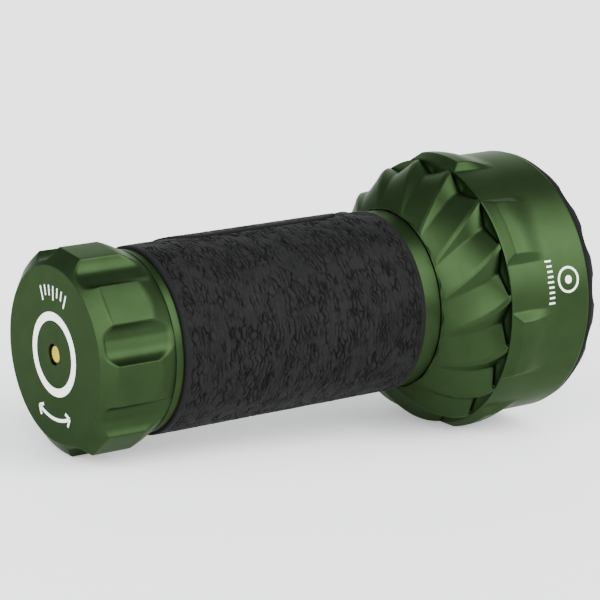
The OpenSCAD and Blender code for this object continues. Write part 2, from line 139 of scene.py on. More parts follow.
# angles and counts
FLUTES = 8
FLUTE_PHASE = 28.1
FINS = 16
FIN_PHASE = 14.1
FIN_PITCH = TURN / FINS
FIN_DEPTH = 2.8
FIN_SKEW = 21.6
LAND_ANGLE = 2.3
VALLEY_ANGLE = 9.3
PADS = 7
PAD_HALF_ANGLE = 11.85
PAD_SLOPE_ANGLE = 3.7
POCKET_LEN = 0.95
CROWN_LOBES = 16
CROWN_PHASE = 5.0
CROWN_DEPTH = 1.4
CROWN_VALLEY_R = 6.0
PANEL_ANGLE = -26.0
PANEL_HALF_ANGLE = 24.5
PANEL_Z = 32.6
PANEL_LEN = 51.1
PANEL_RISE = 0.45
SWITCH_ANGLE = -77.14
SWITCH_Z = 102.9
BOSS_R = 7.6
BOSS_TOP = 34.3
BOSS_FOOT = 24
BOSS_BORE_R = 6.75
SWITCH_SEAT = 31.5
SWITCH_WELL = 28.0
SWITCH_WELL_R = 6.1
SWITCH_BEZEL_R = 6.7
SWITCH_RING_TOP = 34.6
SWITCH_HOLE_R = 7.2
STATUS_GROOVE_R = (5.08, 6.02)
STATUS_GROOVE_FLOOR = 34.1
BUTTON_R = 4.45
BUTTON_TOP = 35.2
BUTTON_FOOT = 30.4
BUTTON_STEP = 33.0
THREAD_PITCH = 2.0
CAP_THREAD = (20.9, 26.6)
SOCKET_THREAD = (20.6, 27.2)
SOCKET_THREAD_DEPTH = 0.32
WRINKLE_DEPTH = 0.40
MARK_RISE = 0.03
MARK_SINK = 0.05
TAIL_MARK_R = 15.4
ARROW_HALF_ANGLE = 25
ARROW_TIP_ANGLE = 27
ARROW_BARB_ANGLE = 21
ARROW_BARB_SPREAD = 1.5
TAIL_TICKS = 7
TAIL_TICK_ANGLE = 7
BARREL_MARK_ANGLE = 77.0
BARREL_MARK_Z = 126.3
BARREL_TICKS = 9
BARREL_TICK_PITCH = 1.3
CUP_R = 9.7
CUP_FLOOR_R = 3.6
LED_RING_R = 19.55

SWITCH_FRAME = (
    BEAM_FRAME
    @ Matrix.Translation((0, 0, SWITCH_Z * MM))
    @ Matrix.Rotation(math.radians(SWITCH_ANGLE), 4, "Z")
    @ Matrix.Rotation(math.radians(90), 4, "Y")
)

# -------------------------------------------------- mesh helpers


def soft_min(a, b, k):
    """The lower of two heights, with the edge where they cross rounded over about k mm."""
    h = np.clip(k - np.abs(a - b), 0, None) / k
    return np.minimum(a, b) - h * h * k / 4


def soft_max(a, b, k):
    """The higher of two heights, rounded in the same way."""
    return -soft_min(-a, -b, k)


def make_object(name, points, faces, body, material, at=BEAM_FRAME, merge=True):
    """A smooth-shaded mesh from points in millimetres in a local frame."""
    mesh = bpy.data.meshes.new(name)
    mesh.from_pydata(np.asarray(points, float).reshape(-1, 3).tolist(), [], faces)
    bm = bmesh.new()
    bm.from_mesh(mesh)
    if merge:
        bmesh.ops.remove_doubles(bm, verts=bm.verts, dist=0.002)
        bmesh.ops.dissolve_degenerate(bm, edges=bm.edges, dist=0.001)
    bmesh.ops.recalc_face_normals(bm, faces=bm.faces)
    bm.to_mesh(mesh)
    bm.free()
    mesh.transform(at @ Matrix.Scale(MM, 4))
    for polygon in mesh.polygons:
        polygon.use_smooth = True
    piece = bpy.data.objects.new(name, mesh)
    bpy.context.scene.collection.objects.link(piece)
    mesh.materials.append(material)
    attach(piece, body)
    return piece


def grid_faces(rows, columns, closed_rows=False, first=0):
    """Quads of a grid that wraps round along its columns."""
    faces = []
    for i in range(rows if closed_rows else rows - 1):
        a = first + i * columns
        b = first + ((i + 1) % rows) * columns
        for j in range(columns):
            k = (j + 1) % columns
            faces.append((a + j, a + k, b + k, b + j))
    return faces


def polar_grid(radii, angles, stations):
    """Points of a surface given by its radius at each row's station and each column's angle."""
    turn = np.radians(angles)
    return np.stack([radii * np.cos(turn), radii * np.sin(turn), stations], axis=-1)


def spread(rows, angles):
    """The radius and the station of each (r, z) row, both repeated for every angle."""
    radii = np.array([p[0] for p in rows])[:, None] + 0 * angles
    stations = np.array([p[1] for p in rows])[:, None] + 0 * angles
    return radii, stations


def rounded(corners, steps=4, support=0.12):
    """A closed profile of (r, z, fillet) corners as points, with its corners rounded.

    Each straight run gets a point close to each end, so that smooth shading stays flat on it.
    """
    points = []
    count = len(corners)
    ends = []
    for i in range(count):
        here = Vector(corners[i][:2])
        back = Vector(corners[i - 1][:2]) - here
        ahead = Vector(corners[(i + 1) % count][:2]) - here
        fillet = corners[i][2]
        if fillet <= 0 or here.x <= 0:
            ends.append((here, here, [here]))
            continue
        half = back.angle(ahead) / 2
        reach = min(fillet / math.tan(half), back.length * 0.45, ahead.length * 0.45)
        start = here + back.normalized() * reach
        end = here + ahead.normalized() * reach
        arc = []
        for s in range(steps + 1):
            t = s / steps
            arc.append(start * (1 - t) ** 2 + here * (2 * t * (1 - t)) + end * t * t)
        ends.append((start, end, arc))
    for i in range(count):
        start = ends[i][1]
        end = ends[(i + 1) % count][0]
        points.extend(ends[i][2])
        run = end - start
        if run.length > 4 * support:
            points.append(start + run.normalized() * support)
            points.append(end - run.normalized() * support)
    return [(p.x, p.y) for p in points]


def filled(outline, spacing):
    """A closed outline with points added along its runs, as far apart as spacing says.

    It is asked with the lower and upper (r, z) bounds of each run, and may answer None.
    """
    rows = []
    for i, (r, z) in enumerate(outline):
        rows.append((r, z))
        r2, z2 = outline[(i + 1) % len(outline)]
        step = spacing((min(r, r2), min(z, z2)), (max(r, r2), max(z, z2)))
        count = int(math.hypot(r2 - r, z2 - z) / step) if step else 0
        for s in range(1, count):
            t = s / count
            rows.append((r + (r2 - r) * t, z + (z2 - z) * t))
    return rows


def lathe(name, corners, body, material, columns=192, at=BEAM_FRAME):
    """A solid turned from a closed profile of (r, z, fillet) corners."""
    profile = rounded(corners)
    angles = np.linspace(0, TURN, columns, endpoint=False)
    radii, stations = spread(profile, angles)
    points = polar_grid(radii, angles[None, :], stations)
    faces = grid_faces(len(profile), columns, closed_rows=True)
    return make_object(name, points, faces, body, material, at)


def tube_along(name, path, radius, body, material, sides=16, at=BEAM_FRAME):
    """A round wire swept along a path of points, with closed ends."""
    path = np.asarray(path, float)
    along = np.gradient(path, axis=0)
    along /= np.linalg.norm(along, axis=1)[:, None]
    axis = np.array([0.0, 0.0, 1.0])
    side = np.cross(along, axis)
    side /= np.linalg.norm(side, axis=1)[:, None]
    up = np.cross(side, along)
    turn = np.radians(np.linspace(0, TURN, sides, endpoint=False))
    points = (
        path[:, None, :]
        + radius * np.cos(turn)[None, :, None] * side[:, None, :]
        + radius * np.sin(turn)[None, :, None] * up[:, None, :]
    )
    faces = grid_faces(len(path), sides)
    faces.append(tuple(range(sides))[::-1])
    last = (len(path) - 1) * sides
    faces.append(tuple(range(last, last + sides)))
    return make_object(name, points, faces, body, material, at)


def between(start, end, spacing):
    """Evenly spaced values from start up to, but not including, end."""
    count = max(1, int(math.ceil(abs(end - start) / spacing)))
    return list(np.linspace(start, end, count, endpoint=False))


# -------------------------------------------------- materials


class Shader:
    """A small helper that builds one node material."""

    def __init__(self, name):
        self.material = bpy.data.materials.new(name)
        self.material.use_nodes = True
        self.tree = self.material.node_tree
        self.main = self.tree.nodes["Principled BSDF"]

    def node(self, kind, **values):
        new = self.tree.nodes.new(kind)
        for key, value in values.items():
            setattr(new, key, value)
        return new

    def link(self, a, b):
        self.tree.links.new(a, b)

    def set(self, **values):
        for key, value in values.items():
            self.main.inputs[key.replace("_", " ")].default_value = value

    def place(self):
        """The point on the object, in millimetres."""
        coordinate = self.node("ShaderNodeTexCoord")
        scale = self.node("ShaderNodeVectorMath", operation="SCALE")
        scale.inputs["Scale"].default_value = 1 / MM
        self.link(coordinate.outputs["Object"], scale.inputs[0])
        return scale.outputs[0]

    def noise(self, at, scale, detail=3.0, roughness=0.5):
        new = self.node("ShaderNodeTexNoise")
        new.inputs["Scale"].default_value = scale
        new.inputs["Detail"].default_value = detail
        new.inputs["Roughness"].default_value = roughness
        self.link(at, new.inputs["Vector"])
        return new.outputs[0]

    def ramp(self, value, stops):
        new = self.node("ShaderNodeValToRGB")
        elements = new.color_ramp.elements
        while len(elements) < len(stops):
            elements.new(0.5)
        for element, (position, colour) in zip(elements, stops):
            element.position = position
            element.color = (*colour, 1)
        self.link(value, new.inputs[0])
        return new.outputs[0]

    def span(self, value, low, high):
        """value, taken from 0..1 to low..high."""
        new = self.node("ShaderNodeMapRange")
        new.inputs["To Min"].default_value = low
        new.inputs["To Max"].default_value = high
        self.link(value, new.inputs[0])
        return new.outputs[0]

    def bump(self, height, strength, distance):
        new = self.node("ShaderNodeBump")
        new.inputs["Strength"].default_value = strength
        new.inputs["Distance"].default_value = distance * MM
        self.link(height, new.inputs["Height"])
        self.link(new.outputs[0], self.main.inputs["Normal"])


def mottled(name, dark, light, rough, metallic=0.0, grain=1.5, fine=6.0, bump=0.02, **values):
    """A finish with soft colour variation, uneven gloss and a fine surface grain."""
    s = Shader(name)
    at = s.place()
    broad = s.noise(at, grain * 0.1)
    s.link(s.ramp(broad, [(0.3, dark), (0.7, light)]), s.main.inputs["Base Color"])
    speckle = s.noise(at, grain, detail=4.0)
    s.link(s.span(speckle, rough[0], rough[1]), s.main.inputs["Roughness"])
    s.bump(s.noise(at, fine, detail=2.0), 0.35, bump)
    s.set(Metallic=metallic, **values)
    return s.material


GREEN_METAL = mottled(
    "green_anodised", (0.0188, 0.035, 0.0132), (0.0218, 0.0405, 0.0154), (0.36, 0.44),
    metallic=1.0, grain=2.0, fine=9.0, bump=0.006, Specular_Tint=(0.58, 0.62, 0.56, 1))
BLACK_METAL = mottled(
    "black_anodised", (0.004, 0.004, 0.0045), (0.007, 0.007, 0.0075), (0.56, 0.68),
    grain=2.0, fine=9.0, bump=0.006, Specular_IOR_Level=0.03)
SEAL_RUBBER = mottled(
    "seal_rubber", (0.010, 0.010, 0.011), (0.018, 0.018, 0.019), (0.48, 0.6), bump=0.02)
BLACK_PLASTIC = mottled(
    "black_plastic", (0.010, 0.010, 0.011), (0.016, 0.016, 0.017), (0.35, 0.45), bump=0.01)
WHITE_PLASTIC = mottled(
    "white_insulator", (0.74, 0.79, 0.73), (0.84, 0.88, 0.83), (0.38, 0.48), bump=0.008)
CARRIER_PLASTIC = mottled(
    "carrier_plastic", (0.045, 0.048, 0.053), (0.065, 0.068, 0.073), (0.42, 0.52), bump=0.015)
GOLD = mottled(
    "gold_plate", (0.48, 0.36, 0.004), (0.54, 0.42, 0.008), (0.34, 0.44), metallic=1.0, bump=0.005)
BRASS = mottled(
    "brass", (0.70, 0.47, 0.18), (0.80, 0.57, 0.25), (0.28, 0.4), metallic=1.0, bump=0.008)
NICKEL = mottled(
    "nickel", (0.60, 0.58, 0.54), (0.70, 0.68, 0.64), (0.22, 0.34), metallic=1.0, bump=0.006)
STEEL = mottled(
    "steel", (0.48, 0.49, 0.50), (0.60, 0.61, 0.62), (0.24, 0.36), metallic=1.0, bump=0.006)
CELL_WRAP = mottled(
    "cell_wrap", (0.02, 0.10, 0.30), (0.03, 0.14, 0.38), (0.22, 0.3), bump=0.02,
    Coat_Weight=0.4)
CIRCUIT = mottled(
    "circuit_board", (0.006, 0.050, 0.022), (0.012, 0.085, 0.038), (0.3, 0.42), bump=0.03,
    grain=4.0)
WHITE_BOARD = mottled(
    "white_board", (0.66, 0.66, 0.63), (0.76, 0.76, 0.73), (0.34, 0.44), bump=0.01, grain=4.0)
RED_WIRE = mottled(
    "red_wire", (0.38, 0.02, 0.015), (0.48, 0.03, 0.02), (0.35, 0.45), bump=0.01)
BUTTON_METAL = mottled(
    "button_metal", (0.060, 0.062, 0.066), (0.085, 0.087, 0.092), (0.28, 0.36), metallic=1.0,
    bump=0.006)
MIRROR = mottled(
    "reflector_mirror", (0.86, 0.87, 0.88), (0.90, 0.91, 0.92), (0.07, 0.12), metallic=1.0,
    grain=3.0, bump=0.004)
PHOSPHOR = mottled(
    "phosphor", (0.80, 0.62, 0.10), (0.88, 0.70, 0.14), (0.4, 0.55), grain=6.0, bump=0.01)
INDICATOR = mottled(
    "indicator_plastic", (0.30, 0.52, 0.32), (0.38, 0.60, 0.40), (0.25, 0.35), bump=0.006,
    Transmission_Weight=0.35)
GLASS = mottled(
    "lens_glass", (0.94, 0.97, 0.96), (0.97, 0.99, 0.98), (0.01, 0.03), bump=0.001,
    Transmission_Weight=1.0, IOR=1.5)


def grip_rubber():
    """Matt charcoal rubber, with painted shade down in the wrinkles and a painted sheen along their
    crests, both in its base colour.
    """
    s = Shader("grip_rubber")
    at = s.place()
    height = s.node("ShaderNodeAttribute", attribute_name="grain")
    speckle = s.noise(at, 3.0, detail=5.0)
    mixed = s.node("ShaderNodeMath", operation="MULTIPLY_ADD")
    s.link(speckle, mixed.inputs[0])
    mixed.inputs[1].default_value = 0.25
    s.link(height.outputs["Fac"], mixed.inputs[2])
    # base colour from the grain's height: painted shade, nearly black, down in the wrinkles, and a
    # painted sheen, lighter, on the crests; the speckle adds a little random tone
    colour = s.ramp(mixed.outputs[0], [
        (0.35, (0.0009, 0.0009, 0.0009)),
        (0.7, (0.0042, 0.0042, 0.0042)),
        (1.0, (0.0085, 0.0084, 0.0086))])
    s.link(colour, s.main.inputs["Base Color"])
    s.link(s.span(speckle, 0.62, 0.78), s.main.inputs["Roughness"])
    s.bump(s.noise(at, 5.0, detail=4.0), 0.5, 0.03)
    s.set(Specular_IOR_Level=0.07)
    return s.material


GRIP_RUBBER = grip_rubber()

# -------------------------------------------------- tail cap


def flute_radius(angles):
    """Radius of the cap's flats and flutes at each angle, without its turned outline."""
    pitch = TURN / FLUTES
    flat_r = CAP_R * math.cos(math.radians(pitch / 4))
    rel = (np.asarray(angles) - FLUTE_PHASE + pitch / 2) % pitch - pitch / 2
    aside = np.abs(rel) / (pitch / 4)
    flute = CAP_R - FLUTE_DEPTH + FLUTE_DEPTH * aside ** 3.4
    flat = flat_r / np.cos(np.radians(pitch / 2 - np.abs(rel)))
    return soft_min(flat, flute, 0.25)


def thread_height(angles, stations, start, end, depth):
    """Height of a right-hand screw thread over its root, fading in and out at its ends."""
    phase = (stations / THREAD_PITCH - angles / TURN) % 1.0
    ridge = np.clip(1.6 - np.abs(phase - 0.5) * 5.2, 0, 1)
    fade = np.clip((stations - start) / 0.8, 0, 1) * np.clip((end - stations) / 0.8, 0, 1)
    return depth * ridge * fade


def cap_shell():
    pitch = TURN / FLUTES
    edge = pitch / 4
    one_flute = sorted(
        between(-pitch / 2, pitch / 2, 0.75)
        + [side * edge + step * 0.2 for side in (-1, 1) for step in range(-6, 7)])
    angles = np.array([FLUTE_PHASE + k * pitch + a for k in range(FLUTES) for a in one_flute])
    outline = rounded([
        (CHARGE_RING_R, CHARGE_RING_DEPTH, 0.05), (CHARGE_RING_R, 0.0, 0.12),
        (TAIL_FACE_R, 0, 0.6), (CAP_R, CAP_REAR_LEN, 0.2),
        (CAP_R, CAP_LEN - CAP_FRONT_LEN, 0.3), (COLLAR_R - 0.1, CAP_LEN - 0.06, 0.08),
        (PLUG_ROOT_R, CAP_LEN - 0.06, 0.1),
        (PLUG_ROOT_R, CAP_THREAD[0], 0), (PLUG_ROOT_R, CAP_THREAD[1], 0),
        (PLUG_R - 0.1, CAP_THREAD[1] + 0.3, 0.1),
        (PLUG_R - 0.1, SEAL_GROOVE[0], 0.1), (SEAL_ROOT_R, SEAL_GROOVE[0], 0.05),
        (SEAL_ROOT_R, SEAL_GROOVE[1], 0.05), (PLUG_R - 0.1, SEAL_GROOVE[1], 0.1),
        (PLUG_ROOT_R, PLUG_END_Z, 0.25),
        (CAP_CAVITY_R, PLUG_END_Z, 0.25), (CAP_CAVITY_R, CAP_FLOOR_Z, 0.2),
        (MAGNET_POCKET_R, CAP_FLOOR_Z, 0.1), (MAGNET_POCKET_R, MAGNET_Z, 0.1),
        (INSULATOR_R + 0.1, MAGNET_Z, 0.1), (INSULATOR_R + 0.1, PIN_SHELF_Z, 0.05),
        (PIN_HOLE_R, PIN_SHELF_Z, 0.05), (PIN_HOLE_R, 0.0, 0.12), (CHARGE_RING_BORE_R, 0.0, 0.12),
        (CHARGE_RING_BORE_R, CHARGE_RING_DEPTH, 0.05)])

    def spacing(low, high):
        outside = low[0] > TAIL_FACE_R - 0.6 and high[1] <= CAP_LEN
        threaded = low[1] >= 20.7 and high[1] <= 26.8 and low[0] > 19
        return 0.14 if outside or threaded else 4.0

    rows = filled(outline, spacing)
    turned, stations = spread(rows, angles)
    lugs = flute_radius(angles)[None, :]
    outside = (turned > TAIL_FACE_R - 0.01) & (stations < CAP_LEN - 0.15)
    radii = np.where(outside, soft_min(turned, lugs, 0.7), turned)
    plug = (stations > 20.8) & (stations < 26.7) & (turned > 19)
    thread = thread_height(angles[None, :], stations, *CAP_THREAD, PLUG_R - PLUG_ROOT_R)
    radii = radii + np.where(plug, thread, 0)
    points = polar_grid(radii, angles[None, :], stations)
    faces = grid_faces(len(rows), len(angles), closed_rows=True)
    piece = make_object("cap_shell", points, faces, "tail_cap", GREEN_METAL)
    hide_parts("tail_cap")


cap_shell()

ring = lathe("white_charge_ring", [
    (CHARGE_RING_BORE_R + 0.02, CHARGE_RING_DEPTH - 0.05, 0.05),
    (CHARGE_RING_R - 0.02, CHARGE_RING_DEPTH - 0.05, 0.05),
    (CHARGE_RING_R - 0.02, 0.02, 0.1), (CHARGE_RING_BORE_R + 0.02, 0.02, 0.1)],
    "tail_cap", WHITE_PLASTIC)
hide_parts("charge_ring")

pin = lathe("gold_contact_pin", [
    (0, PIN_TOP_Z, 0), (PIN_R, PIN_TOP_Z, 0.3), (PIN_R, PIN_HEAD_END_Z, 0.1),
    (PIN_SHANK_R, PIN_HEAD_END_Z, 0.05), (PIN_SHANK_R, PIN_END_Z, 0.1), (0, PIN_END_Z, 0)],
    "tail_cap", GOLD, columns=96)
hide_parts("contact_pin")

insulator = lathe("black_pin_insulator", [
    (PIN_R + 0.02, PIN_HEAD_END_Z, 0.02), (PIN_R + 0.02, 0.9, 0.05),
    (PIN_HOLE_R - 0.02, 0.9, 0.05), (PIN_HOLE_R - 0.02, 1.35, 0.02),
    (INSULATOR_R, 1.35, 0.1), (INSULATOR_R, INSULATOR_END_Z, 0.2),
    (PIN_SHANK_R + 0.02, INSULATOR_END_Z, 0.1),
    (PIN_SHANK_R + 0.02, PIN_HEAD_END_Z, 0.02)],
    "tail_cap", BLACK_PLASTIC, columns=96)
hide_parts("pin_insulator")


def coil(name, node, body, base_r, top_r, start, end, turns, wire_r):
    """A compression spring, flattened into closed coils at its two ends."""
    count = int(turns * 48)
    t = np.linspace(0, 1, count)
    rise = np.clip((t * turns - 0.6) / (turns - 1.2), 0, 1)
    z = start + wire_r + (end - start - 2 * wire_r) * rise
    z = z + wire_r * 0.9 * np.clip(t * turns, 0, 0.6) - wire_r * 0.54
    z = z + wire_r * 0.9 * np.clip(t * turns - (turns - 0.6), 0, 0.6)
    z = np.clip(z, start + wire_r, end - wire_r)
    r = base_r + (top_r - base_r) * t
    turn = 2 * math.pi * t * turns
    path = np.stack([r * np.cos(turn), r * np.sin(turn), z], axis=-1)
    spring = tube_along(name, path, wire_r, body, GOLD)
    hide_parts(node)


coil("tail_battery_spring", "tail_spring", "tail_cap",
     base_r=7, top_r=5, start=6.3, end=31.4, turns=5.5, wire_r=0.6)
coil("driver_contact_spring", "driver_spring", "light",
     base_r=4, top_r=6, start=102.2, end=106.4, turns=3.2, wire_r=0.55)

# -------------------------------------------------- body tube with its collars


def body_shell():
    outline = rounded([
        (SOCKET_R, CAP_LEN, 0.2), (COLLAR_R, CAP_LEN + 0.02, 0.12), (COLLAR_R, SLEEVE_Z, 0.08),
        (TUBE_R, SLEEVE_Z, 0.05), (TUBE_R, SLEEVE_END_Z, 0.05),
        (FRONT_COLLAR_R, SLEEVE_END_Z, 0.12), (FRONT_COLLAR_R, HEAD_Z - 0.05, 0.12),
        (THREAD_ROOT_R, HEAD_Z - 0.05, 0.05),
        (THREAD_ROOT_R, HEAD_Z + 1.2, 0.05), (SPIGOT_R, HEAD_Z + 1.6, 0.1),
        (SPIGOT_R, TUBE_END_Z - 1.5, 0.1), (THREAD_ROOT_R, TUBE_END_Z, 0.2),
        (TUBE_BORE_R - 0.2, TUBE_END_Z, 0.1), (TUBE_BORE_R - 0.2, SLEEVE_END_Z, 0.1),
        (TUBE_BORE_R, SLEEVE_END_Z, 0.05), (TUBE_BORE_R, PLUG_END_Z + 0.6, 0.1),
        (SOCKET_R, PLUG_END_Z + 0.6, 0.1), (SOCKET_R, SOCKET_THREAD[1], 0),
        (SOCKET_R, SOCKET_THREAD[0], 0)])

    def spacing(low, high):
        in_socket = abs(low[0] - SOCKET_R) < 0.01 and abs(high[0] - SOCKET_R) < 0.01
        return 0.22 if in_socket and high[1] < 27.5 else None

    rows = filled(outline, spacing)
    angles = np.linspace(0, TURN, 288, endpoint=False)
    turned, stations = spread(rows, angles)
    socket = (np.abs(turned - SOCKET_R) < 0.01) & (stations < 27.3) & (stations > 20.5)
    start, end = SOCKET_THREAD
    cut = SOCKET_THREAD_DEPTH - thread_height(
        angles[None, :], stations, start, end, SOCKET_THREAD_DEPTH)
    ends = np.clip((stations - start) / 0.6, 0, 1) * np.clip((end - stations) / 0.6, 0, 1)
    radii = turned + np.where(socket, cut * ends, 0)
    points = polar_grid(radii, angles[None, :], stations)
    faces = grid_faces(len(rows), len(angles), closed_rows=True)
    piece = make_object("body_shell", points, faces, "light", GREEN_METAL)
    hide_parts("body_tube")


body_shell()

# -------------------------------------------------- grip


def cell_edges(u, v, count_u, seed):
    """Distance to the nearest edge between scattered cells, and how far it runs along u.

    Both are in cells, and u wraps at count_u.
    """
    rng = np.random.default_rng(seed)
    table = rng.random((count_u, 96, 2))
    iu = np.floor(u).astype(int)
    iv = np.floor(v).astype(int)
    nearest = np.full(u.shape, 9.0)
    second = np.full(u.shape, 9.0)
    nearest_at = np.zeros(u.shape + (2,))
    second_at = np.zeros(u.shape + (2,))
    for du in (-1, 0, 1):
        for dv in (-1, 0, 1):
            cu = iu + du
            cv = iv + dv
            jitter = table[cu % count_u, cv % 96]
            at = np.stack([cu + jitter[..., 0], cv + jitter[..., 1]], axis=-1)
            gap = np.hypot(at[..., 0] - u, at[..., 1] - v)
            closer = (gap < nearest)[..., None]
            between_them = (gap < second)[..., None] & ~closer
            second_at = np.where(closer, nearest_at, np.where(between_them, at, second_at))
            nearest_at = np.where(closer, at, nearest_at)
            second = np.where(closer[..., 0], nearest, np.minimum(second, gap))
            nearest = np.minimum(nearest, gap)
    apart = np.abs(second_at - nearest_at)
    around = apart[..., 1] / (apart.sum(axis=-1) + 1e-6)
    return second - nearest, around


def smooth_noise(u, v, count_u, seed):
    """Value noise from 0 to 1; u wraps at count_u."""
    rng = np.random.default_rng(seed)
    table = rng.random((count_u, 128))
    iu = np.floor(u).astype(int)
    iv = np.floor(v).astype(int)
    fu = u - iu
    fv = v - iv
    fu = fu * fu * (3 - 2 * fu)
    fv = fv * fv * (3 - 2 * fv)
    a = table[iu % count_u, iv % 128]
    b = table[(iu + 1) % count_u, iv % 128]
    c = table[iu % count_u, (iv + 1) % 128]
    d = table[(iu + 1) % count_u, (iv + 1) % 128]
    return (a * (1 - fu) + b * fu) * (1 - fv) + (c * (1 - fu) + d * fu) * fv


def leather(angles, stations):
    """Height of the wrinkled grain, from 0 in a wrinkle to 1 on a crest."""
    along = stations
    part = angles / TURN % 1.0
    drift_u = smooth_noise(part * 90, along / 1.5, 90, 11) - 0.5
    drift_v = smooth_noise(part * 70, along / 1.8, 70, 12) - 0.5
    coarse, runs = cell_edges(
        part * 58 + drift_u * 0.7, along / 1.05 + drift_v * 1.2, 58, 21)
    fine, fine_runs = cell_edges(
        part * 84 + drift_v * 0.8, along / 0.8 + drift_u * 1.0, 84, 22)
    broken = smooth_noise(part * 60, along / 1.6, 60, 31)
    broken_fine = smooth_noise(part * 70, along / 1.4, 70, 32)
    kept = np.clip((runs - 0.2) * 4, 0, 1) * np.clip((broken - 0.3) * 3, 0, 1)
    kept_fine = np.clip((fine_runs - 0.2) * 5, 0, 1) * np.clip((broken_fine - 0.45) * 3, 0, 1)
    groove = (1 - np.clip(coarse / 0.25, 0, 1)) * kept
    crease = (1 - np.clip(fine / 0.3, 0, 1)) * kept_fine
    pillow = np.clip(coarse * 1.2, 0, 1)
    swell = smooth_noise(part * 24, along / 6, 24, 41)
    height = 0.62 + 0.22 * pillow + 0.16 * swell - 0.75 * groove - 0.45 * crease
    return np.clip(height, 0, 1)


def grained(name, points, faces, grain, node):
    """A grip piece that carries its grain's height to the material."""
    piece = make_object(
        name, points, faces, "light", GRIP_RUBBER, merge=False)
    values = np.asarray(grain).reshape(-1)
    layer = piece.data.attributes.new("grain", "FLOAT", "POINT")
    layer.data.foreach_set("value", values.astype(np.float32))
    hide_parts(node)
    return piece


def panel_distance(angles, stations):
    """Distance outwards from the panel's outline, in millimetres along the grip."""
    half_w = GRIP_R * math.sin(math.radians(PANEL_HALF_ANGLE))
    around = (angles - PANEL_ANGLE + TURN / 2) % TURN - TURN / 2
    across = np.radians(around) * GRIP_R
    past_end = np.abs(stations - PANEL_Z - PANEL_LEN / 2) - (PANEL_LEN / 2 - half_w)
    return np.hypot(across, np.clip(past_end, 0, None)) - half_w


def sleeve():
    spacing = 0.2
    columns = int(2 * math.pi * GRIP_R / spacing)
    angles = np.linspace(0, TURN, columns, endpoint=False)[None, :]
    rows = [(TUBE_R + 0.02, SLEEVE_Z + 0.02), (GRIP_R - 0.6, SLEEVE_Z + 0.02)]
    rows += [(GRIP_R - 0.25, SLEEVE_Z + 0.08), (GRIP_R - 0.07, SLEEVE_Z + 0.24)]
    rows += [(GRIP_R, z) for z in between(SLEEVE_Z + 0.5, SLEEVE_END_Z - 0.5, spacing)]
    rows += [(GRIP_R, SLEEVE_END_Z - 0.5), (GRIP_R - 0.07, SLEEVE_END_Z - 0.24)]
    rows += [(GRIP_R - 0.25, SLEEVE_END_Z - 0.08), (GRIP_R - 0.6, SLEEVE_END_Z - 0.02)]
    rows += [(TUBE_R + 0.02, SLEEVE_END_Z - 0.02)]
    turned, stations = spread(rows, angles)
    edge = np.minimum(stations - SLEEVE_Z, SLEEVE_END_Z - stations)
    fade = np.clip((edge - 0.4) / 1.4, 0, 1)
    grain = leather(angles + 0 * stations, stations)
    grain = 0.72 + (grain - 0.72) * fade
    outside = turned > GRIP_R - 0.3
    beyond = panel_distance(angles, stations)
    moat = np.where(beyond > -0.4, 0.5 * np.exp(-(beyond / 0.45) ** 2), 0)
    radii = turned + np.where(outside, (grain - 0.85) * WRINKLE_DEPTH - moat, 0)
    points = polar_grid(radii, angles, stations)
    faces = grid_faces(len(rows), columns, closed_rows=True)
    grained("grip_sleeve_skin", points, faces, grain, "grip_sleeve")


def panel():
    """The raised pad on the grip: rings from its middle line out to its rolled edge."""
    half_w = GRIP_R * math.sin(math.radians(PANEL_HALF_ANGLE))
    straight = PANEL_LEN - 2 * half_w
    around = []
    side_steps = int(straight / 0.26)
    end_steps = int(math.pi * half_w / 0.26)
    for s in range(side_steps):
        around.append((PANEL_Z + half_w + straight * s / side_steps, 0.0, 1.0))
    for s in range(end_steps):
        a = math.pi * s / end_steps
        around.append((PANEL_Z + half_w + straight, math.sin(a), math.cos(a)))
    for s in range(side_steps):
        around.append((PANEL_Z + half_w + straight * (1 - s / side_steps), 0.0, -1.0))
    for s in range(end_steps):
        a = math.pi * (1 + s / end_steps)
        around.append((PANEL_Z + half_w, math.sin(a), math.cos(a)))
    around = np.array(around)
    reach = [0.02] + list(between(0.25, half_w - 0.5, 0.26))
    rim = [(0.5, 0.0), (0.3, 0.04), (0.14, 0.13), (0.04, 0.26), (0.0, 0.45), (0.0, 0.85)]
    rows = [(q, 0.0) for q in reach] + [(half_w - inset, drop) for inset, drop in rim]
    outward = np.array([p[0] for p in rows])[:, None]
    drop = np.array([p[1] for p in rows])[:, None]
    stations = around[None, :, 0] + outward * around[None, :, 1]
    across = outward * around[None, :, 2]
    angles = PANEL_ANGLE - np.degrees(across / GRIP_R)
    grain = leather(angles, stations)
    fade = np.clip((half_w - outward - 0.3) / 1.0, 0, 1)
    grain = 0.8 + (grain - 0.8) * fade
    radii = GRIP_R + PANEL_RISE - drop + (grain - 0.85) * WRINKLE_DEPTH
    top = polar_grid(radii, angles, stations)
    inner = polar_grid(radii[:1] * 0 + GRIP_R - 0.5, angles[:1], stations[:1])
    points = np.concatenate([top, inner])
    grain = np.concatenate([grain, grain[:1]])
    faces = grid_faces(len(points), len(around), closed_rows=True)
    grained("grip_panel_skin", points, faces, grain, "grip_panel")


sleeve()
panel()

# -------------------------------------------------- head


def fin_columns():
    """Columns of one fin, as a share of each of its three spans: face, ramp and land."""
    columns = []
    for span, steps in ((0, 22), (1, 24), (2, 7)):
        for s in range(steps):
            even = s / steps
            bunched = (1 - math.cos(math.pi * even)) / 2
            columns.append((span, 0.5 * even + 0.5 * bunched))
    return columns


def chord(r1, a1, r2, a2, at):
    """Radius at each angle of the straight line through two polar points."""
    s12 = np.sin(np.radians(a2 - a1))
    s1 = np.sin(np.radians(at - a1))
    s2 = np.sin(np.radians(a2 - at))
    below = r1 * s1 + r2 * s2
    return np.where(below > 1e-6, r1 * r2 * s12 / np.maximum(below, 1e-6), 99.0)


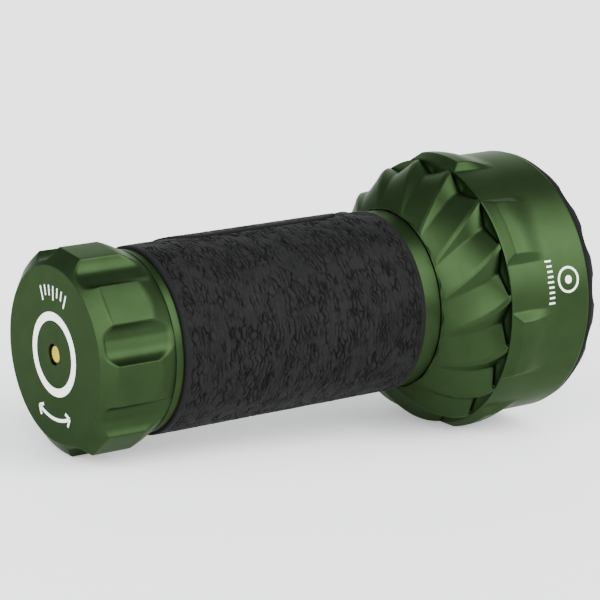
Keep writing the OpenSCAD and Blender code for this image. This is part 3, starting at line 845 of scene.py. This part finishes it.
def fin_radius(t, rel):
    """Radius of the finned cone at t, 0 at the neck to 1 at the ring, rel degrees past a crest."""
    crest = NECK_R + (RING_R - NECK_R) * math.sin(math.pi / 2 * t) ** 0.85
    valley = VALLEY_ANGLE * t ** 0.65 + 0.3
    depth = FIN_DEPTH * t ** 0.8
    land = FIN_PITCH - LAND_ANGLE
    face = chord(crest, 0, crest - depth, valley, rel)
    ramp = chord(crest - depth, valley, crest, land, rel)
    face = np.where(rel < land, face, 0)
    ramp = np.where(rel > 0, ramp, 0)
    groove = soft_max(face, ramp, 0.05 + 0.35 * t)
    before = chord(crest, -LAND_ANGLE, crest, 0, rel)
    after = chord(crest, land, crest, FIN_PITCH, rel)
    edge = 0.04 + 0.16 * t
    return soft_min(groove, soft_min(before, after, 0.02), edge), crest


def band_radius(angles, station, outline_r):
    """Radius of the band: raised pads that fade into the plain barrel ahead of them."""
    pitch = TURN / PADS
    rel = np.abs(angles % pitch - pitch / 2)
    top = pitch / 2 - PAD_HALF_ANGLE
    foot = top - PAD_SLOPE_ANGLE
    slope = chord(RECESS_R, foot, BAND_R, top, rel)
    slope = np.where(rel > foot - 2, slope, 0)
    raised = soft_min(soft_max(RECESS_R + 0 * rel, slope, 0.12), BAND_R + 0 * rel, 0.12)
    forward = min(max((station - RING_Z) / (PAD_FADE_END - RING_Z), 0), 1)
    floor_r = RECESS_R + (BARREL_R - RECESS_R) * forward * forward * (3 - 2 * forward)
    ahead = (station - PAD_FADE_START) / (PAD_FADE_END - PAD_FADE_START)
    ahead = min(max(ahead, 0), 1)
    share = 0.5 + 0.5 * math.cos(math.pi * ahead)
    faded = floor_r + (raised - RECESS_R) * share
    return soft_min(faded, outline_r, 0.12)


def head_shell():
    columns = fin_columns()
    spans = np.array([c[0] for c in columns])
    shares = np.array([c[1] for c in columns])
    rows = []

    def row(t, station, kind, r=0.0):
        valley = VALLEY_ANGLE * t ** 0.65 + 0.3
        land = FIN_PITCH - LAND_ANGLE
        starts = np.array([0, valley, land])
        widths = np.array([valley, land - valley, LAND_ANGLE])
        rel = starts[spans] + widths[spans] * shares
        skew = FIN_SKEW * (1 - t ** 0.68)
        angles = np.concatenate([FIN_PHASE + k * FIN_PITCH + skew + rel for k in range(FINS)])
        if kind == "fin":
            radii, crest = fin_radius(t, rel)
            radii = np.tile(radii, FINS)
        elif kind == "pocket":
            radii, crest = fin_radius(t, rel)
            sunk = np.clip((crest - radii - 0.12) / 0.3, 0, 1)
            radii = np.tile(radii - r * sunk, FINS)
        elif kind == "band":
            radii = band_radius(angles, station, r)
        else:
            radii = np.full(len(angles), r)
        rows.append((radii, angles, np.full(len(angles), station)))

    inside = rounded([
        (FRONT_BORE_R, SEAM_Z, 0.1), (FRONT_BORE_R, REFLECTOR_END_Z - 3, 0.1),
        (CAVITY_R, REFLECTOR_END_Z - 3, 0.1), (CAVITY_R, BOARD_Z, 0.1), (0, BOARD_Z, 0),
        (0, SHELF_Z, 0), (SPIGOT_R + 0.1, SHELF_Z, 0.1), (SPIGOT_R + 0.1, HEAD_Z, 0.1),
        (COLLAR_R, HEAD_Z, 0)])
    row(0.0, HEAD_Z + 0.02, "round", NECK_R - 0.12)
    fin_len = RING_Z - NECK_Z
    pocket_t = 1 - POCKET_LEN / fin_len
    for s in np.linspace(0, 1, 60):
        t = pocket_t * s ** 1.25
        row(t, NECK_Z + fin_len * t, "fin")
    rim = ((0.10, 0.02), (0.20, 0.08), (0.28, 0.17), (0.33, 0.30), (0.36, 0.6), (0.38, 3.0))
    for ahead, depth in rim + ((POCKET_LEN - 0.02, 3.0),):
        t = pocket_t + ahead / fin_len
        row(t, NECK_Z + fin_len * t, "pocket", depth)
    outline = rounded([
        (20, RING_Z, 0), (RING_R, RING_Z, 0.12), (RING_R + 0.25, RING_Z + 0.2, 0.1),
        (BAND_R, BAND_Z, 0.3), (BAND_R, SEAM_Z - 1.4, 0), (BARREL_R + 0.3, SEAM_Z - 0.7, 0),
        (BARREL_R - 0.25, SEAM_Z, 0.1), (20, SEAM_Z, 0)])
    outline = [p for p in outline if p[0] > FRONT_BORE_R + 0.2]
    for i, (r, z) in enumerate(outline):
        row(1.0, z, "band", r)
        if i + 1 < len(outline):
            r2, z2 = outline[i + 1]
            steps = int(math.hypot(r2 - r, z2 - z) / 0.4)
            for s in range(1, steps):
                row(1.0, z + (z2 - z) * s / steps, "band", r + (r2 - r) * s / steps)
    for r, z in inside:
        row(1.0 if z > RING_Z else 0.0, z, "round", r)
    radii = np.array([r[0] for r in rows])
    angles = np.array([r[1] for r in rows])
    stations = np.array([r[2] for r in rows])
    around = (angles - SWITCH_ANGLE + TURN / 2) % TURN - TURN / 2
    sideways = radii * np.sin(np.radians(around))
    near = (np.hypot(sideways, stations - SWITCH_Z) < SWITCH_HOLE_R) & (np.abs(around) < 60)
    radii = np.where(near & (radii > 22), SWITCH_WELL - 0.6, radii)
    points = polar_grid(radii, angles, stations)
    faces = grid_faces(len(rows), points.shape[1], closed_rows=True)
    piece = make_object("head_shell", points, faces, "light", GREEN_METAL)
    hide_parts("head_housing")


head_shell()


def bezel_crown():
    """Front ring: its crown is cut by sixteen round valleys."""
    outline = rounded([
        (30, REFLECTOR_END_Z - 2.8, 0.1), (BEZEL_SPIGOT_R, REFLECTOR_END_Z - 2.8, 0.1),
        (BEZEL_SPIGOT_R, SEAM_Z + 0.1, 0.05), (BARREL_R - 0.3, SEAM_Z + 0.1, 0.12),
        (BARREL_R - 0.5, SEAM_Z + 1.2, 0.3), (BEZEL_FRONT_R, BEZEL_END_Z - 0.3, 0.15),
        (BEZEL_FRONT_R - 0.3, BEZEL_END_Z, 0.12), (BEZEL_FRONT_R - 1.0, BEZEL_END_Z, 0.15),
        (BEZEL_BORE_R, BEZEL_END_Z - 1.7, 0.15), (BEZEL_BORE_R, LENS_Z + LENS_LEN + 0.4, 0.05),
        (30, LENS_Z + LENS_LEN + 0.4, 0.05)])
    columns = 768
    angles = np.linspace(0, TURN, columns, endpoint=False)[None, :]
    pitch = TURN / CROWN_LOBES
    rel = (angles - CROWN_PHASE) % pitch - pitch / 2
    rows = filled(outline, lambda low, high: 0.25 if low[1] > SEAM_Z + 0.9 else None)
    turned, stations = spread(rows, angles)
    aside = turned * np.sin(np.radians(rel))
    under = np.clip(CROWN_VALLEY_R ** 2 - aside ** 2, 0, None)
    valley_axis = BEZEL_END_Z + CROWN_VALLEY_R - CROWN_DEPTH
    ceiling = np.where(under > 0, valley_axis - np.sqrt(under), BEZEL_END_Z + 9)
    crown = stations > SEAM_Z + 1.0
    stations = np.where(crown, soft_min(stations, ceiling, 0.3), stations)
    points = polar_grid(turned, angles, stations)
    faces = grid_faces(len(rows), columns, closed_rows=True)
    piece = make_object("bezel_crown", points, faces, "light", BLACK_METAL)
    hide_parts("bezel")


bezel_crown()

# -------------------------------------------------- light engine


def led_places():
    places = [(0.0, 0.0)]
    for k in range(6):
        a = math.radians(60 * k)
        places.append((LED_RING_R * math.cos(a), LED_RING_R * math.sin(a)))
    return places


def reflector():
    """A round plate with seven deep parabolic cups, open at both ends."""
    around = 96
    turn = [2 * math.pi * j / around for j in range(around)]
    coordinates = [(REFLECTOR_R * math.cos(a), REFLECTOR_R * math.sin(a)) for a in turn]
    loops = [list(range(around))]
    for x, y in led_places():
        loops.append(list(range(len(coordinates), len(coordinates) + around)))
        coordinates += [(x + CUP_R * math.cos(a), y + CUP_R * math.sin(a)) for a in turn]
    edges = [(loop[i], loop[(i + 1) % around]) for loop in loops for i in range(around)]
    flat = [Vector(c) for c in coordinates]
    found = delaunay_2d_cdt(flat, edges, [], 0, 1e-5)
    points = [(p.x, p.y, REFLECTOR_END_Z) for p in found[0]]
    faces = []
    for face in found[2]:
        x = sum(found[0][i].x for i in face) / len(face)
        y = sum(found[0][i].y for i in face) / len(face)
        in_cup = any(math.hypot(x - cx, y - cy) < CUP_R * 0.999 for cx, cy in led_places())
        if not in_cup and math.hypot(x, y) < REFLECTOR_R:
            faces.append(tuple(face))
    depth = REFLECTOR_END_Z - REFLECTOR_Z
    steps = 28
    for x, y in led_places():
        first = len(points)
        for i in range(steps + 1):
            f = 1 - i / steps
            r = CUP_FLOOR_R + (CUP_R - CUP_FLOOR_R) * math.sqrt(f)
            for a in turn:
                points.append((x + r * math.cos(a), y + r * math.sin(a), REFLECTOR_Z + depth * f))
        faces += grid_faces(steps + 1, around, first=first)
    first = len(points)
    for z in (REFLECTOR_END_Z, REFLECTOR_Z):
        points += [(REFLECTOR_R * math.cos(a), REFLECTOR_R * math.sin(a), z) for a in turn]
    faces += grid_faces(2, around, first=first)
    piece = make_object("seven_cup_reflector", points, faces, "light", MIRROR)
    piece.data.set_sharp_from_angle(angle=math.radians(40))
    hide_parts("reflector")


reflector()


def emitters():
    """Seven emitters: a square package with rounded corners, under a domed phosphor."""
    points = []
    faces = []
    columns = 64
    half = 2.2
    height = 0.7
    dome_r = 1.9
    dome_rise = 1.1
    turn = np.radians(np.linspace(0, TURN, columns, endpoint=False))
    square = half / np.maximum(np.abs(np.cos(turn)), np.abs(np.sin(turn)))
    package = np.minimum(square, half * 1.28)
    rows = [(package * 0.0, 0.0), (package, 0.0), (package, 0.62), (package * 0.97, height)]
    rows += [(np.full(columns, dome_r + 0.05), height)]
    for step in range(1, 9):
        a = math.pi / 2 * step / 8
        rows.append((np.full(columns, dome_r * math.cos(a)), height + dome_rise * math.sin(a)))
    for x, y in led_places():
        first = len(points)
        for r, z in rows:
            for j in range(columns):
                points.append((
                    x + r[j] * math.cos(turn[j]), y + r[j] * math.sin(turn[j]),
                    BOARD_Z + BOARD_LEN + z))
        faces += grid_faces(len(rows), columns, first=first)
    piece = make_object("seven_emitters", points, faces, "light", PHOSPHOR)
    piece.data.set_sharp_from_angle(angle=math.radians(50))
    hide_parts("leds")


emitters()

lens = lathe("front_lens", [
    (0, LENS_Z, 0), (LENS_R, LENS_Z, 0.25), (LENS_R, LENS_Z + LENS_LEN, 0.25),
    (0, LENS_Z + LENS_LEN, 0)], "light", GLASS)
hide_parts("lens")

# -------------------------------------------------- side switch

boss = lathe("switch_boss", [
    (0, BOSS_FOOT, 0), (BOSS_R, BOSS_FOOT, 0.1), (BOSS_R, BOSS_TOP, 0.4),
    (BOSS_BORE_R, BOSS_TOP, 0.12), (BOSS_BORE_R, SWITCH_SEAT, 0.05), (SWITCH_WELL_R, SWITCH_SEAT, 0.05),
    (SWITCH_WELL_R, SWITCH_WELL - 0.1, 0.1), (0, SWITCH_WELL - 0.1, 0)],
    "light", GREEN_METAL, columns=128, at=SWITCH_FRAME)
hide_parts("head_housing")

switch_ring = lathe("switch_trim_ring", [
    (BUTTON_R + 0.1, SWITCH_SEAT, 0.1), (SWITCH_BEZEL_R, SWITCH_SEAT, 0.1),
    (SWITCH_BEZEL_R, SWITCH_RING_TOP, 0.3), (STATUS_GROOVE_R[1], SWITCH_RING_TOP, 0.08),
    (STATUS_GROOVE_R[1], STATUS_GROOVE_FLOOR, 0.03),
    (STATUS_GROOVE_R[0], STATUS_GROOVE_FLOOR, 0.03),
    (STATUS_GROOVE_R[0], SWITCH_RING_TOP, 0.08), (BUTTON_R + 0.1, SWITCH_RING_TOP, 0.2)],
    "light", STEEL, columns=128, at=SWITCH_FRAME)
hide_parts("switch_bezel")

indicator = lathe("status_ring", [
    (STATUS_GROOVE_R[0] + 0.02, STATUS_GROOVE_FLOOR + 0.02, 0.03),
    (STATUS_GROOVE_R[1] - 0.02, STATUS_GROOVE_FLOOR + 0.02, 0.03),
    (STATUS_GROOVE_R[1] - 0.02, SWITCH_RING_TOP - 0.02, 0.12),
    (STATUS_GROOVE_R[0] + 0.02, SWITCH_RING_TOP - 0.02, 0.12)],
    "light", INDICATOR, columns=128, at=SWITCH_FRAME)
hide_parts("indicator_ring")

button = lathe("switch_cap", [
    (0, BUTTON_FOOT, 0), (BUTTON_R - 0.3, BUTTON_FOOT, 0.1),
    (BUTTON_R - 0.3, BUTTON_STEP, 0.1), (BUTTON_R, BUTTON_STEP, 0.1),
    (BUTTON_R, BUTTON_TOP, 0.35), (3.3, BUTTON_TOP - 0.05, 0.4),
    (1.8, BUTTON_TOP - 0.33, 0.6), (0, BUTTON_TOP - 0.4, 0)],
    "switch_button", BUTTON_METAL, columns=128, at=SWITCH_FRAME)
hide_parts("switch_button")

# -------------------------------------------------- printed marks


def printed(name, body, strokes, place):
    """Thin raised strokes: each is a path of (u, v) points and a width, laid on by place."""
    points = []
    faces = []
    for path, width, closed in strokes:
        path = np.asarray(path, float)
        if closed:
            ahead = np.roll(path, -1, axis=0) - np.roll(path, 1, axis=0)
        else:
            ahead = np.gradient(path, axis=0)
        ahead /= np.linalg.norm(ahead, axis=1)[:, None]
        aside = np.stack([-ahead[:, 1], ahead[:, 0]], axis=1) * width / 2
        first = len(points)
        for at, off in zip(path, aside):
            points.append(place(*(at + off), MARK_RISE))
            points.append(place(*(at - off), MARK_RISE))
            points.append(place(*(at - off), -MARK_SINK))
            points.append(place(*(at + off), -MARK_SINK))
        faces += grid_faces(len(path), 4, closed_rows=closed, first=first)
        if not closed:
            last = len(points) - 4
            faces.append((first, first + 1, first + 2, first + 3))
            faces.append((last + 3, last + 2, last + 1, last))
    piece = make_object(name, points, faces, body, WHITE_PLASTIC, merge=False)
    piece.data.set_sharp_from_angle(angle=math.radians(40))
    return piece


def arc_point(radius, angle):
    turn = math.radians(angle)
    return radius * math.cos(turn), radius * math.sin(turn)


def arc(radius, start, end, steps=48):
    return [arc_point(radius, angle) for angle in np.linspace(start, end, steps)]


def line(start, end, steps=4):
    return np.linspace(start, end, steps)


def on_tail(u, v, height):
    """u to the right and v upwards on the tail face, seen from behind."""
    return (v, u, -height)


def on_barrel(u, v, height):
    """u round the barrel and v forwards, from the middle of the mark."""
    turn = math.radians(BARREL_MARK_ANGLE + math.degrees(u / BARREL_R))
    r = BARREL_R + height
    return (r * math.cos(turn), r * math.sin(turn), BARREL_MARK_Z + v)


# a turning arrow under the charging ring, and a row of index ticks above it
below = 270
above = 90
shaft = arc(TAIL_MARK_R, below - ARROW_HALF_ANGLE, below + ARROW_HALF_ANGLE)
turning = [(shaft, 0.8, False)]
for side in (-1, 1):
    tip = arc_point(TAIL_MARK_R, below + side * ARROW_TIP_ANGLE)
    for lean in (-1, 1):
        barb = arc_point(
            TAIL_MARK_R + lean * ARROW_BARB_SPREAD, below + side * ARROW_BARB_ANGLE)
        turning.append((line(tip, barb), 0.7, False))
for k in range(TAIL_TICKS):
    tick_angle = above + (k - TAIL_TICKS // 2) * TAIL_TICK_ANGLE
    tick_len = 2.4 if k % 3 else 3.4
    outer_end = arc_point(TAIL_MARK_R + 0.8, tick_angle)
    inner_end = arc_point(TAIL_MARK_R + 0.8 - tick_len, tick_angle)
    turning.append((line(inner_end, outer_end), 0.5, False))
printed("tail_marks", "tail_cap", turning, on_tail)

# a ring with a dot, and a row of ticks behind it
dial = [(arc(3.0, 0, 355, 64), 0.55, True), (arc(0.55, 0, 330, 12), 1.0, True)]
for k in range(BARREL_TICKS):
    u = (k - BARREL_TICKS // 2) * BARREL_TICK_PITCH
    dial.append((line((u, -6.2 if k % 4 else -6.9), (u, -4.6)), 0.45, False))
printed("barrel_marks", "light", dial, on_barrel)

# -------------------------------------------------- finishes of the CAD nodes

NODE_FINISHES = (
    (NICKEL, ("charge_magnet", "cell_tabs", "switch_dome")),
    (CIRCUIT, ("tail_board", "driver_board", "switch_board")),
    (BRASS, ("tail_board_retainer", "driver_retainer")),
    (SEAL_RUBBER, ("tail_seal", "head_seal", "lens_seal",
                   "lens_gasket", "bezel_seal", "switch_boot")),
    (CELL_WRAP, ("battery_cell_1", "battery_cell_2", "battery_cell_3")),
    (CARRIER_PLASTIC, ("rear_cell_carrier", "front_cell_carrier")),
    (STEEL, ("cell_tie_rods", "led_board_screws")),
    (GOLD, ("rear_contact_plate", "front_contact_plate")),
    (BLACK_PLASTIC, ("driver_components",)),
    (RED_WIRE, ("led_wires", "switch_wires")),
    (WHITE_BOARD, ("led_board",)),
    (WHITE_PLASTIC, ("led_spacers",)),
)
for finish, nodes in NODE_FINISHES:
    for node in nodes:
        slots = frame["nodes"][node].data.materials
        for i in range(len(slots)):
            slots[i] = finish
        if len(slots) == 0:
            slots.append(finish)

# -------------------------------------------------- floor, light and camera


def floor():
    half = 4.0
    mesh = bpy.data.meshes.new("floor")
    corners = [(-half, -half, 0), (half, -half, 0), (half, half, 0), (-half, half, 0)]
    mesh.from_pydata(corners, [], [(0, 1, 2, 3)])
    ground = bpy.data.objects.new("floor", mesh)
    bpy.context.scene.collection.objects.link(ground)
    paper = mottled("floor_paper", (0.90, 0.90, 0.90), (0.92, 0.92, 0.92), (0.75, 0.85),
                    grain=0.02, fine=0.4, bump=0.01, Emission_Color=(1, 1, 1, 1),
                    Emission_Strength=0.35)
    mesh.materials.append(paper)


def soft_sun(name, towards, strength, angle):
    lamp = bpy.data.lights.new(name, "SUN")
    lamp.energy = strength
    lamp.angle = math.radians(angle)
    holder = bpy.data.objects.new(name, lamp)
    holder.rotation_euler = Vector(towards).to_track_quat("Z", "Y").to_euler()
    bpy.context.scene.collection.objects.link(holder)


def surroundings():
    world = bpy.data.worlds.new("studio")
    world.use_nodes = True
    background = world.node_tree.nodes["Background"]
    background.inputs["Color"].default_value = (0.9, 0.95, 1.0, 1)
    background.inputs["Strength"].default_value = 0.9
    bpy.context.scene.world = world


def camera():
    azimuth = math.radians(-35.766)
    elevation = math.radians(11.892)
    roll = math.radians(4.686)
    distance = 0.6495
    aim = Vector((-0.00025, -0.00022, 0.03346))
    away = Vector((
        math.sin(azimuth) * math.cos(elevation),
        -math.cos(azimuth) * math.cos(elevation),
        math.sin(elevation)))
    lens_mm = 160.44
    data = bpy.data.cameras.new("camera")
    data.lens = lens_mm
    data.sensor_width = 36.0
    holder = bpy.data.objects.new("camera", data)
    turn = away.to_track_quat("Z", "Y").to_matrix().to_4x4()
    holder.matrix_world = (
        Matrix.Translation(aim + away * distance) @ turn @ Matrix.Rotation(roll, 4, "Z"))
    bpy.context.scene.collection.objects.link(holder)
    bpy.context.scene.camera = holder


floor()
soft_sun("key_light", (0.50, -0.62, 0.60), 4.0, 55)
soft_sun("right_light", (0.86, -0.40, 0.34), 1.5, 40)
soft_sun("front_light", (-0.62, -0.61, 0.50), 3.1, 50)
soft_sun("left_light", (-0.95, -0.12, 0.25), 3.4, 50)
soft_sun("back_rim", (0.50, 0.80, 0.35), 1.0, 50)
surroundings()
camera()
